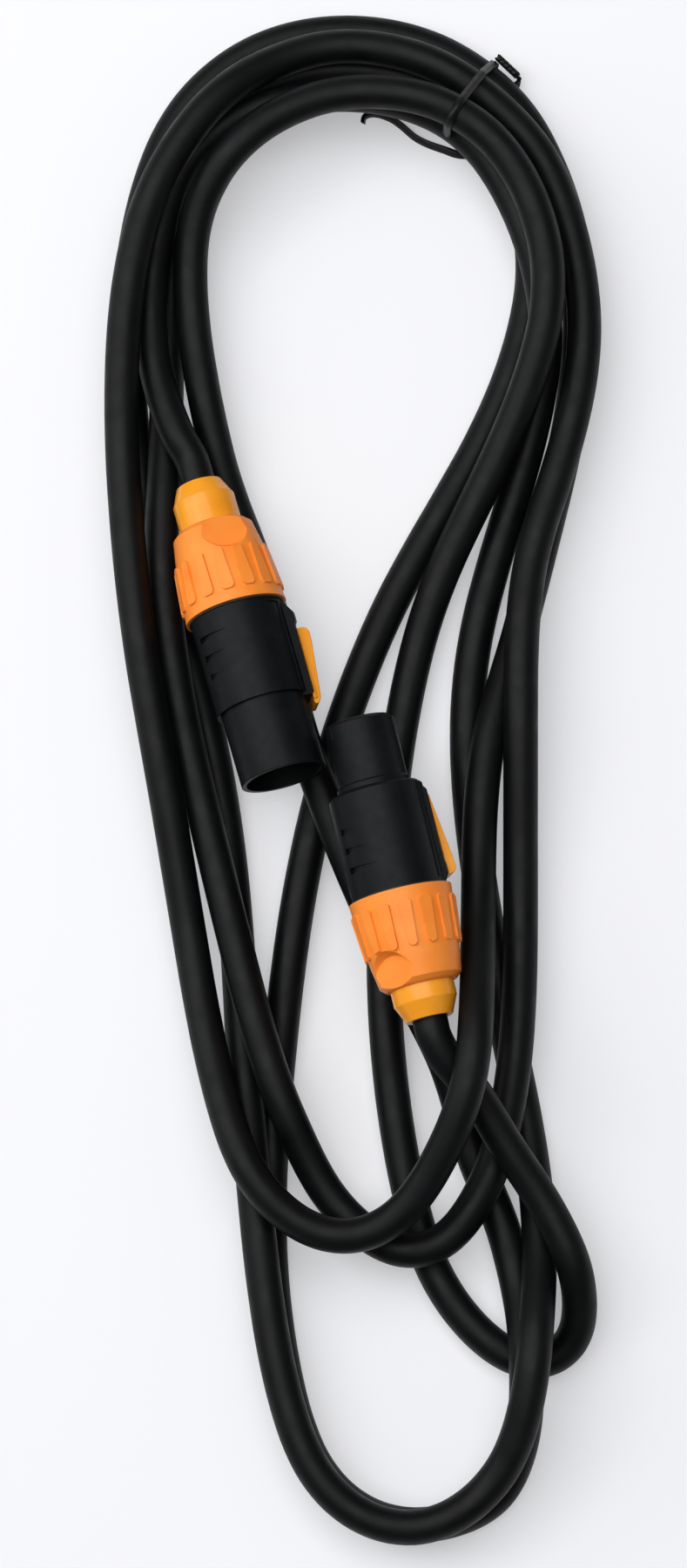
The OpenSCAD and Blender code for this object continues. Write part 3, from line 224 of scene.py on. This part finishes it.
def lifted(point):
    x, y, z = point
    return Vector((x, y, z + FOOT * max(0.0, 1 - (z - F) / LIFT_OVER)))


def smooth_path(points, steps):
    """Points of a centripetal Catmull-Rom curve through the given points."""
    out = []
    last = len(points) - 1
    for i in range(last):
        p0 = points[i - 1] if i else points[0] * 2 - points[1]
        p1, p2 = points[i], points[i + 1]
        p3 = points[i + 2] if i + 2 <= last else points[last] * 2 - points[last - 1]
        t0 = 0.0
        t1 = t0 + math.sqrt((p1 - p0).length)
        t2 = t1 + math.sqrt((p2 - p1).length)
        t3 = t2 + math.sqrt((p3 - p2).length)
        for k in range(steps):
            t = t1 + (t2 - t1) * k / steps
            a1 = p0 * ((t1 - t) / (t1 - t0)) + p1 * ((t - t0) / (t1 - t0))
            a2 = p1 * ((t2 - t) / (t2 - t1)) + p2 * ((t - t1) / (t2 - t1))
            a3 = p2 * ((t3 - t) / (t3 - t2)) + p3 * ((t - t2) / (t3 - t2))
            b1 = a1 * ((t2 - t) / (t2 - t0)) + a2 * ((t - t0) / (t2 - t0))
            b2 = a2 * ((t3 - t) / (t3 - t1)) + a3 * ((t - t1) / (t3 - t1))
            out.append(b1 * ((t2 - t) / (t2 - t1)) + b2 * ((t - t1) / (t2 - t1)))
    out.append(points[last])
    return out


def smoothed(points, keep_ends, rounds):
    """Evens out the listed points a little, apart from the straight ends."""
    pts = [p.copy() for p in points]
    for _ in range(rounds):
        new = [p.copy() for p in pts]
        for i in range(keep_ends, len(pts) - keep_ends):
            new[i] = pts[i] * 0.6 + (pts[i - 1] + pts[i + 1]) * 0.2
        pts = new
    return pts

points = ([inlet_point(jacket_z) for jacket_z in (35, 17.5, 0, -8)]
          + lead_out + right_low + foot_upper + outer_top + high_loop + outer_right
          + second_loop + inner_low + cross_up + inner_high + lead_in
          + [outlet_point(z) for z in (-5, 0, 15.5, 31)])
centreline = smooth_path(smoothed([lifted(p) for p in points], 5, 2), 4)


def tube(name, path, radius, sides):
    """A round closed tube along a path, with its frames carried along so it does not twist."""
    verts, faces = [], []
    out = Vector((0, 0, 1))
    last = len(path) - 1
    for i, p in enumerate(path):
        ahead = (path[min(i + 1, last)] - path[max(i - 1, 0)]).normalized()
        out = (out - ahead * out.dot(ahead)).normalized()
        side = ahead.cross(out)
        for k in range(sides):
            a = 2 * math.pi * k / sides
            verts.append((p + (out * math.cos(a) + side * math.sin(a)) * radius) * MM)
    for i in range(last):
        for k in range(sides):
            a, b = i * sides + k, i * sides + (k + 1) % sides
            faces.append((a, b, b + sides, a + sides))
    faces.append(tuple(reversed(range(sides))))
    faces.append(tuple(last * sides + k for k in range(sides)))
    mesh = bpy.data.meshes.new(name)
    mesh.from_pydata(verts, [], faces)
    mesh.shade_smooth()
    obj = bpy.data.objects.new(name, mesh)
    bpy.context.scene.collection.objects.link(obj)
    return obj


cord = tube("cord_jacket", centreline, CORD_D / 2, 28)
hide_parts("cord")
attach(cord, BODY)

# ---------------------------------------------------------------- materials


def shader(name, colour, roughness, metallic=0.0, specular=0.5):
    """A material with its Principled node, ready for its details."""
    mat = bpy.data.materials.new(name)
    mat.use_nodes = True
    nodes = mat.node_tree.nodes
    bsdf = nodes["Principled BSDF"]
    bsdf.inputs["Base Color"].default_value = (*colour, 1.0)
    bsdf.inputs["Roughness"].default_value = roughness
    bsdf.inputs["Metallic"].default_value = metallic
    bsdf.inputs["Specular IOR Level"].default_value = specular
    where = nodes.new("ShaderNodeTexCoord")
    return mat, bsdf, where.outputs["Object"]


def noise(mat, where, per_metre, detail=4.0, stretch=None):
    nodes, links = mat.node_tree.nodes, mat.node_tree.links
    node = nodes.new("ShaderNodeTexNoise")
    node.inputs["Scale"].default_value = per_metre
    node.inputs["Detail"].default_value = detail
    if stretch is None:
        links.new(where, node.inputs["Vector"])
    else:
        mapping = nodes.new("ShaderNodeMapping")
        mapping.inputs["Scale"].default_value = stretch
        links.new(where, mapping.inputs["Vector"])
        links.new(mapping.outputs["Vector"], node.inputs["Vector"])
    return node.outputs["Fac"]


def ramp(mat, value, stops):
    """Colours or greys at places along a value from 0 to 1."""
    nodes, links = mat.node_tree.nodes, mat.node_tree.links
    node = nodes.new("ShaderNodeValToRGB")
    while len(node.color_ramp.elements) < len(stops):
        node.color_ramp.elements.new(0.5)
    for element, (place, colour) in zip(node.color_ramp.elements, stops):
        element.position = place
        element.color = (*colour, 1.0) if isinstance(colour, tuple) else (colour, colour, colour, 1.0)
    links.new(value, node.inputs["Fac"])
    return node.outputs["Color"]


def bump(mat, bsdf, height, distance_mm, strength=1.0, below=None):
    nodes, links = mat.node_tree.nodes, mat.node_tree.links
    node = nodes.new("ShaderNodeBump")
    node.inputs["Distance"].default_value = distance_mm * MM
    node.inputs["Strength"].default_value = strength
    links.new(height, node.inputs["Height"])
    if below is not None:
        links.new(below, node.inputs["Normal"])
    links.new(node.outputs["Normal"], bsdf.inputs["Normal"])
    return node.outputs["Normal"]


def moulded(name, dark, light, rough_low, rough_high, grain_per_metre, grain_mm, specular=0.5,
            patch_per_metre=90.0):
    """Moulded rubber or plastic: soft patches of colour and gloss over a fine grain."""
    mat, bsdf, where = shader(name, dark, rough_low, specular=specular)
    links = mat.node_tree.links
    patches = noise(mat, where, patch_per_metre, 5.0)
    links.new(ramp(mat, patches, [(0.3, dark), (0.72, light)]), bsdf.inputs["Base Color"])
    gloss = noise(mat, where, patch_per_metre * 2.7, 6.0)
    links.new(ramp(mat, gloss, [(0.3, rough_low), (0.7, rough_high)]), bsdf.inputs["Roughness"])
    grain = noise(mat, where, grain_per_metre, 2.0)
    bump(mat, bsdf, grain, grain_mm)
    return mat


def metal(name, colour, rough_low, rough_high, per_metre):
    mat, bsdf, where = shader(name, colour, rough_low, metallic=1.0)
    links = mat.node_tree.links
    wear = noise(mat, where, per_metre, 6.0)
    links.new(ramp(mat, wear, [(0.3, rough_low), (0.7, rough_high)]), bsdf.inputs["Roughness"])
    links.new(ramp(mat, noise(mat, where, per_metre / 3, 4.0),
                   [(0.35, tuple(c * 0.82 for c in colour)), (0.7, colour)]),
              bsdf.inputs["Base Color"])
    bump(mat, bsdf, noise(mat, where, per_metre * 4, 3.0), 0.01)
    return mat


JACKET = moulded("jacket_rubber", (0.0012, 0.0015, 0.0017), (0.0036, 0.0042, 0.0045),
                 0.42, 0.56, 2600.0, 0.035, 0.17, 60.0)
BLACK = moulded("black_plastic", (0.0030, 0.0038, 0.0043), (0.0056, 0.0068, 0.0076),
                0.38, 0.50, 5200.0, 0.020, 0.12, 140.0)
NUT = moulded("orange_plastic", (0.98, 0.262, 0.030), (1.0, 0.315, 0.046),
              0.36, 0.46, 3800.0, 0.010, 0.25, 120.0)
AMBER = moulded("amber_plastic", (0.92, 0.325, 0.014), (0.97, 0.385, 0.026),
                0.20, 0.32, 2400.0, 0.006, 0.34, 110.0)
RING = moulded("seal_rubber", (0.010, 0.011, 0.012), (0.022, 0.023, 0.025),
               0.55, 0.75, 3000.0, 0.03, 0.4, 150.0)
INSERT = moulded("insert_plastic", (0.012, 0.013, 0.014), (0.020, 0.021, 0.023),
                 0.30, 0.42, 3600.0, 0.01, 0.5, 160.0)
TIE = moulded("tie_plastic", (0.0025, 0.0028, 0.0030), (0.0070, 0.0075, 0.0080),
              0.34, 0.50, 2800.0, 0.02, 0.22, 200.0)
LINE = moulded("line_insulation", (0.010, 0.010, 0.011), (0.018, 0.018, 0.019),
               0.30, 0.42, 2600.0, 0.01, 0.5, 180.0)
NEUTRAL = moulded("neutral_insulation", (0.74, 0.74, 0.71), (0.80, 0.80, 0.78),
                  0.30, 0.42, 2600.0, 0.01, 0.5, 180.0)
EARTH = moulded("earth_insulation", (0.025, 0.21, 0.055), (0.035, 0.27, 0.075),
                0.30, 0.42, 2600.0, 0.01, 0.5, 180.0)
CONTACT = metal("tinned_brass", (0.74, 0.68, 0.54), 0.18, 0.36, 900.0)
SCREW = metal("screw_steel", (0.55, 0.55, 0.56), 0.24, 0.42, 1200.0)
SPRING = metal("spring_steel", (0.62, 0.62, 0.64), 0.16, 0.30, 1500.0)

cord.data.materials.append(JACKET)

MATERIAL_OF = {
    "clamp_collar": AMBER, "cap_nut": NUT, "seal": RING, "face_ring": RING,
    "housing": BLACK, "sleeve": BLACK, "spigot": BLACK, "contact_block": INSERT,
    "line_pin": CONTACT, "neutral_pin": CONTACT, "earth_pin": CONTACT,
    "line_socket": CONTACT, "neutral_socket": CONTACT, "earth_socket": CONTACT,
    "terminal_screws": SCREW, "line_core": LINE, "neutral_core": NEUTRAL,
    "earth_core": EARTH, "latch": AMBER, "latch_spring": SPRING}
EDGE_MM = {"cap_nut": 0.16, "sleeve": 0.3, "spigot": 0.2,
           "clamp_collar": 0.3, "latch": 0.45}


def soft_edges(obj, width_mm):
    """Rounds a moulded piece's edges a little and shades it smoothly."""
    weld = obj.modifiers.new("weld", "WELD")
    weld.merge_threshold = 1e-6
    flat = obj.modifiers.new("flat", "DECIMATE")
    flat.decimate_type = "DISSOLVE"
    flat.angle_limit = math.radians(0.4)
    flat.delimit = {"NORMAL"}
    round_off = obj.modifiers.new("edges", "BEVEL")
    round_off.width = width_mm * MM
    round_off.segments = 2
    round_off.limit_method = "ANGLE"
    round_off.angle_limit = math.radians(32)
    round_off.use_clamp_overlap = True
    normals = obj.modifiers.new("normals", "WEIGHTED_NORMAL")
    normals.keep_sharp = False


for name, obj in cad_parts.items():
    if name in ("cord", "twist_tie") or name.endswith("_latch_spring"):
        continue
    kind = name.split("_", 1)[1]
    for slot in obj.material_slots:
        slot.link = "OBJECT"
        slot.material = MATERIAL_OF[kind]
    if kind in EDGE_MM:
        soft_edges(obj, EDGE_MM[kind])

# ---------------------------------------------------------------- twist tie
TIE_AT = Vector((32.5, 189.5, 0.0))
TIE_TURN = math.radians(-120)
TIE_STRANDS = [(-12, T), (-0.5, T), (6, 14.6), (6, 25.4), (-5.5, 16)]
TIE_GAP = 0.25                      # from the jackets to the band's inner side
TIE_W, TIE_T = 2.4, 0.5             # flat band
WIRE_D = 0.9                        # ridge over the wire in its middle
KNOT = [Vector((42, 205.7, 7.5)), Vector((47.4, 200.9, 6))]
TAIL = [
    (47.4, 200.9, 5.2, 80), (47.9, 200.6, 3.2, 60), (47.1, 199, 1.3, 20),
    (45.5, 196.4, 0.62, 0), (41.5, 190, 0.62, 0), (37.8, 184, 0.62, 0), (35.2, 180, 0.65, 0),
    (33, 178.7, 1.0, 25), (30, 178.8, 1.2, 35), (26.5, 180, 1.3, 42), (21.5, 181.8, 1.4, 48),
    (18, 183.7, 1.4, 50), (14, 187.2, 1.4, 50), (11, 189.3, 1.4, 50), (7, 190.7, 1.4, 50),
    (4.8, 190.6, 1.4, 55), (3.3, 189.7, 1.4, 60), (2.9, 188.0, 1.4, 60)]


def tie_section(width):
    """Outline of the tie: a flat strip with the round ridge of its wire."""
    half = width / 2
    shape = [(half, -0.3), (half, 0.3), (0.45, 0.5)]
    ridge = [(0.32, 0.8), (0.0, 1.0), (-0.32, 0.8)]
    shape += [(x * WIRE_D, y) for x, y in ridge] + [(-0.45, 0.5), (-half, 0.3), (-half, -0.3)]
    shape += [(-0.45, -0.5)] + [(x * WIRE_D, -y) for x, y in reversed(ridge)] + [(0.45, -0.5)]
    return [(x, y * TIE_T * 0.8) for x, y in shape]


def strip(verts, faces, path, normals, width, closed=False):
    """Adds a strip along a path, its flat side facing the normals."""
    section = tie_section(width)
    first = len(verts)
    n, m = len(path), len(section)
    for i, p in enumerate(path):
        before = path[i - 1] if (i or closed) else p
        after = path[(i + 1) % n] if (i + 1 < n or closed) else p
        ahead = (after - before).normalized()
        side = ahead.cross(normals[i]).normalized()
        out = side.cross(ahead)
        verts += [(p + side * x + out * y) * MM for x, y in section]
    for i in range(n if closed else n - 1):
        a, b = first + i * m, first + (i + 1) % n * m
        faces += [(a + k, a + (k + 1) % m, b + (k + 1) % m, b + k) for k in range(m)]
    if not closed:
        faces.append(tuple(first + k for k in reversed(range(m))))
        faces.append(tuple(first + (n - 1) * m + k for k in range(m)))


verts, faces = [], []
# The band, pulled tight round the outline of the bundle in one upright plane.
BAND_STEPS = 96
BAND_PART = 1.2
across = Vector((math.cos(TIE_TURN), math.sin(TIE_TURN), 0))
band, outward = [], []
for step in range(BAND_STEPS):
    a = 2 * math.pi * step / BAND_STEPS
    u = (math.cos(a), math.sin(a))
    p = max(TIE_STRANDS, key=lambda q: q[0] * u[0] + q[1] * u[1])
    r = CORD_D / 2 + TIE_GAP + TIE_T / 2
    band.append(TIE_AT + across * (p[0] + r * u[0]) + Vector((0, 0, p[1] + r * u[1])))
    outward.append(across * u[0] + Vector((0, 0, u[1])))
even = []
for a, b, na, nb in zip(band, band[1:] + band[:1], outward, outward[1:] + outward[:1]):
    parts = max(1, round((b - a).length / BAND_PART))
    even += [(a.lerp(b, k / parts), na.lerp(nb, k / parts).normalized()) for k in range(parts)]
strip(verts, faces, [p for p, _ in even], [q for _, q in even], TIE_W, closed=True)

# Its two ends, twisted round each other outside the bundle.
axis = KNOT[1] - KNOT[0]
ahead = axis.normalized()
side = ahead.cross(Vector((0, 0, 1))).normalized()
over = side.cross(ahead)
for start in (0.0, math.pi):
    twist, facing = [], []
    for i in range(61):
        a = start + i / 60 * 2 * math.pi * 2.5
        away = side * math.cos(a) + over * math.sin(a)
        twist.append(KNOT[0] + axis * i / 60 + away * 0.72)
        facing.append((away + ahead * 0.25).normalized())
    strip(verts, faces, twist, facing, 1.7)

tail_path = smooth_path([Vector(q[:3]) for q in TAIL], 6)
rolls = [q[3] for q in TAIL]
tail_normals = []
for i, p in enumerate(tail_path):
    k = min(i // 6, len(TAIL) - 2)
    f = i / 6 - k
    roll = math.radians(rolls[k] * (1 - f) + rolls[k + 1] * f)
    nxt = tail_path[min(i + 1, len(tail_path) - 1)] - tail_path[max(i - 1, 0)]
    level = nxt.cross(Vector((0, 0, 1))).normalized()
    tail_normals.append(Vector((0, 0, 1)) * math.cos(roll) - level * math.sin(roll))
strip(verts, faces, tail_path, tail_normals, TIE_W)

tie_mesh = bpy.data.meshes.new("tie_band")
tie_mesh.from_pydata(verts, [], faces)
tie_mesh.validate()
fix = bmesh.new()
fix.from_mesh(tie_mesh)
bmesh.ops.recalc_face_normals(fix, faces=fix.faces)
fix.to_mesh(tie_mesh)
fix.free()
tie_mesh.shade_smooth()
tie = bpy.data.objects.new("tie_band", tie_mesh)
bpy.context.scene.collection.objects.link(tie)
tie.data.materials.append(TIE)
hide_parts("twist_tie")
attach(tie, BODY)

# ---------------------------------------------------------------- latch springs
# Each coil stands between its stop and the front of the latch's pocket.
SPRING_R, SPRING_WIRE, SPRING_TURNS, SPRING_RUN, SPRING_ROOM = 0.85, 0.45, 6, 5.95, 6.5
TURN_STEPS = 20


def placed(at, aim, local):
    """A point of a connector's own frame, nose along +Z, in the shared frame."""
    turn = (Matrix.Rotation(math.radians(aim[0]), 3, "Z")
            @ Matrix.Rotation(math.radians(90 - aim[1]), 3, "Y")
            @ Matrix.Rotation(math.radians(aim[2]), 3, "Z"))
    return at + turn @ Vector(local)


for name, at, aim, lift, rear, travel in (
        ("inlet", INLET_AT, INLET_AIM, 14.675, 54.7, 3.0),
        ("outlet", OUTLET_AT, OUTLET_AIM, 12.875, 44.0, 2.0)):
    winding = []
    for step in range(SPRING_TURNS * TURN_STEPS + 1):
        a = 2 * math.pi * step / TURN_STEPS
        z = rear + SPRING_WIRE / 2 + SPRING_RUN * step / (SPRING_TURNS * TURN_STEPS)
        winding.append(placed(at, aim, (lift + SPRING_R * math.cos(a), SPRING_R * math.sin(a), z)))
    coil = tube(name + "_spring_coil", winding, SPRING_WIRE / 2, 10)
    coil.data.materials.append(SPRING)
    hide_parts(name + "_latch_spring")
    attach(coil, BODY)
    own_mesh(coil)

# ---------------------------------------------------------------- floor and light
floor_mesh = bpy.data.meshes.new("floor")
floor_mesh.from_pydata([(-6, -6, 0), (6, -6, 0), (6, 6, 0), (-6, 6, 0)], [], [(0, 1, 2, 3)])
floor = bpy.data.objects.new("floor", floor_mesh)
bpy.context.scene.collection.objects.link(floor)
FLOOR_ALBEDO = (0.60, 0.60, 0.618)
FLOOR_GLOW = 0.36                   # the white sheet itself, for the eye and for reflections
paper = bpy.data.materials.new("floor")
paper.use_nodes = True
tree = paper.node_tree
tree.nodes.clear()
diffuse = tree.nodes.new("ShaderNodeBsdfDiffuse")
diffuse.inputs["Color"].default_value = (*FLOOR_ALBEDO, 1.0)
glow = tree.nodes.new("ShaderNodeEmission")
glow.inputs["Color"].default_value = (0.97, 0.975, 1.0, 1.0)
ray = tree.nodes.new("ShaderNodeLightPath")
seen = None
for kind in ("Is Camera Ray", "Is Glossy Ray", "Is Transmission Ray"):
    add = tree.nodes.new("ShaderNodeMath")
    add.operation = "MULTIPLY_ADD"
    add.inputs[1].default_value = FLOOR_GLOW
    add.inputs[2].default_value = 0.0
    tree.links.new(ray.outputs[kind], add.inputs[0])
    if seen is not None:
        tree.links.new(seen, add.inputs[2])
    seen = add.outputs["Value"]
tree.links.new(seen, glow.inputs["Strength"])
both = tree.nodes.new("ShaderNodeAddShader")
out = tree.nodes.new("ShaderNodeOutputMaterial")
tree.links.new(diffuse.outputs["BSDF"], both.inputs[0])
tree.links.new(glow.outputs["Emission"], both.inputs[1])
tree.links.new(both.outputs["Shader"], out.inputs["Surface"])
floor_mesh.materials.append(paper)


def softbox(name, place, aim, size, power):
    data = bpy.data.lights.new(name, "AREA")
    data.shape = "RECTANGLE"
    data.size, data.size_y = size
    data.energy = power
    obj = bpy.data.objects.new(name, data)
    obj.location = place
    obj.rotation_euler = (Vector(aim) - Vector(place)).to_track_quat("-Z", "Y").to_euler()
    bpy.context.scene.collection.objects.link(obj)


softbox("top_light", (-0.35, 0.25, 1.6), (0, 0, 0), (1.6, 2.0), 28.5)
softbox("left_light", (-1.5, 0.35, 0.9), (0, 0, 0), (0.9, 1.4), 9.5)
softbox("right_light", (1.5, -0.3, 1.2), (0, 0, 0), (0.8, 1.4), 1.0)

world = bpy.data.worlds.new("studio")
world.use_nodes = True
world.node_tree.nodes["Background"].inputs["Color"].default_value = (0.97, 0.98, 1.0, 1.0)
world.node_tree.nodes["Background"].inputs["Strength"].default_value = 0.13
bpy.context.scene.world = world
bpy.context.scene.view_settings.view_transform = "Standard"
